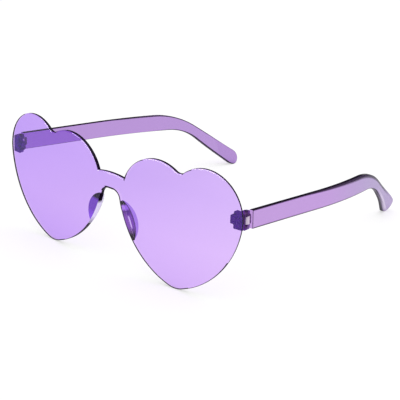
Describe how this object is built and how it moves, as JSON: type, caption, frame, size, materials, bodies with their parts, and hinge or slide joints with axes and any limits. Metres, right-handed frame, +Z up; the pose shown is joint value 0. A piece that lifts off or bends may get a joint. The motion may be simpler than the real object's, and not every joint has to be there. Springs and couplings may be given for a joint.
{
  "type": "heart shaped sunglasses",
  "caption": "Rimless sunglasses with a bowed one-piece lens cut to a pair of hearts, bonded nose pads and hinge blocks, and flat clear temples that fold in on pins.",
  "frame": {"origin": "middle of the open sunglasses' box, at the height of the table that they stand on", "axes": "+X towards the wearer's left, +Y from the lens back along the temples, +Z up"},
  "size_m": [0.1484, 0.1448, 0.0579],
  "materials": {
    "tinted_lens": "polished, see-through violet",
    "tinted_temple": "polished, see-through violet",
    "tinted_fitting": "moulded, see-through deep violet",
    "pin_steel": "plain drawn pin"
  },
  "bodies": {
    "front": {"lens_shield": "tinted_lens", "left_end_piece": "tinted_fitting", "right_end_piece": "tinted_fitting", "left_hinge_pin": "pin_steel", "right_hinge_pin": "pin_steel", "left_nose_pad": "tinted_fitting", "right_nose_pad": "tinted_fitting"},
    "left_arm": {"left_temple": "tinted_temple"},
    "right_arm": {"right_temple": "tinted_temple"}
  },
  "joints": [
    {"name": "left_temple_fold", "type": "hinge", "parent": "front", "child": "left_arm", "pos_m": [0.07195, -0.0622, 0.0388], "axis": [0, 0, 1], "range_deg": [0, 82]},
    {"name": "right_temple_fold", "type": "hinge", "parent": "front", "child": "right_arm", "pos_m": [-0.07195, -0.0622, 0.0388], "axis": [0, 0, -1], "range_deg": [0, 77]}
  ]
}
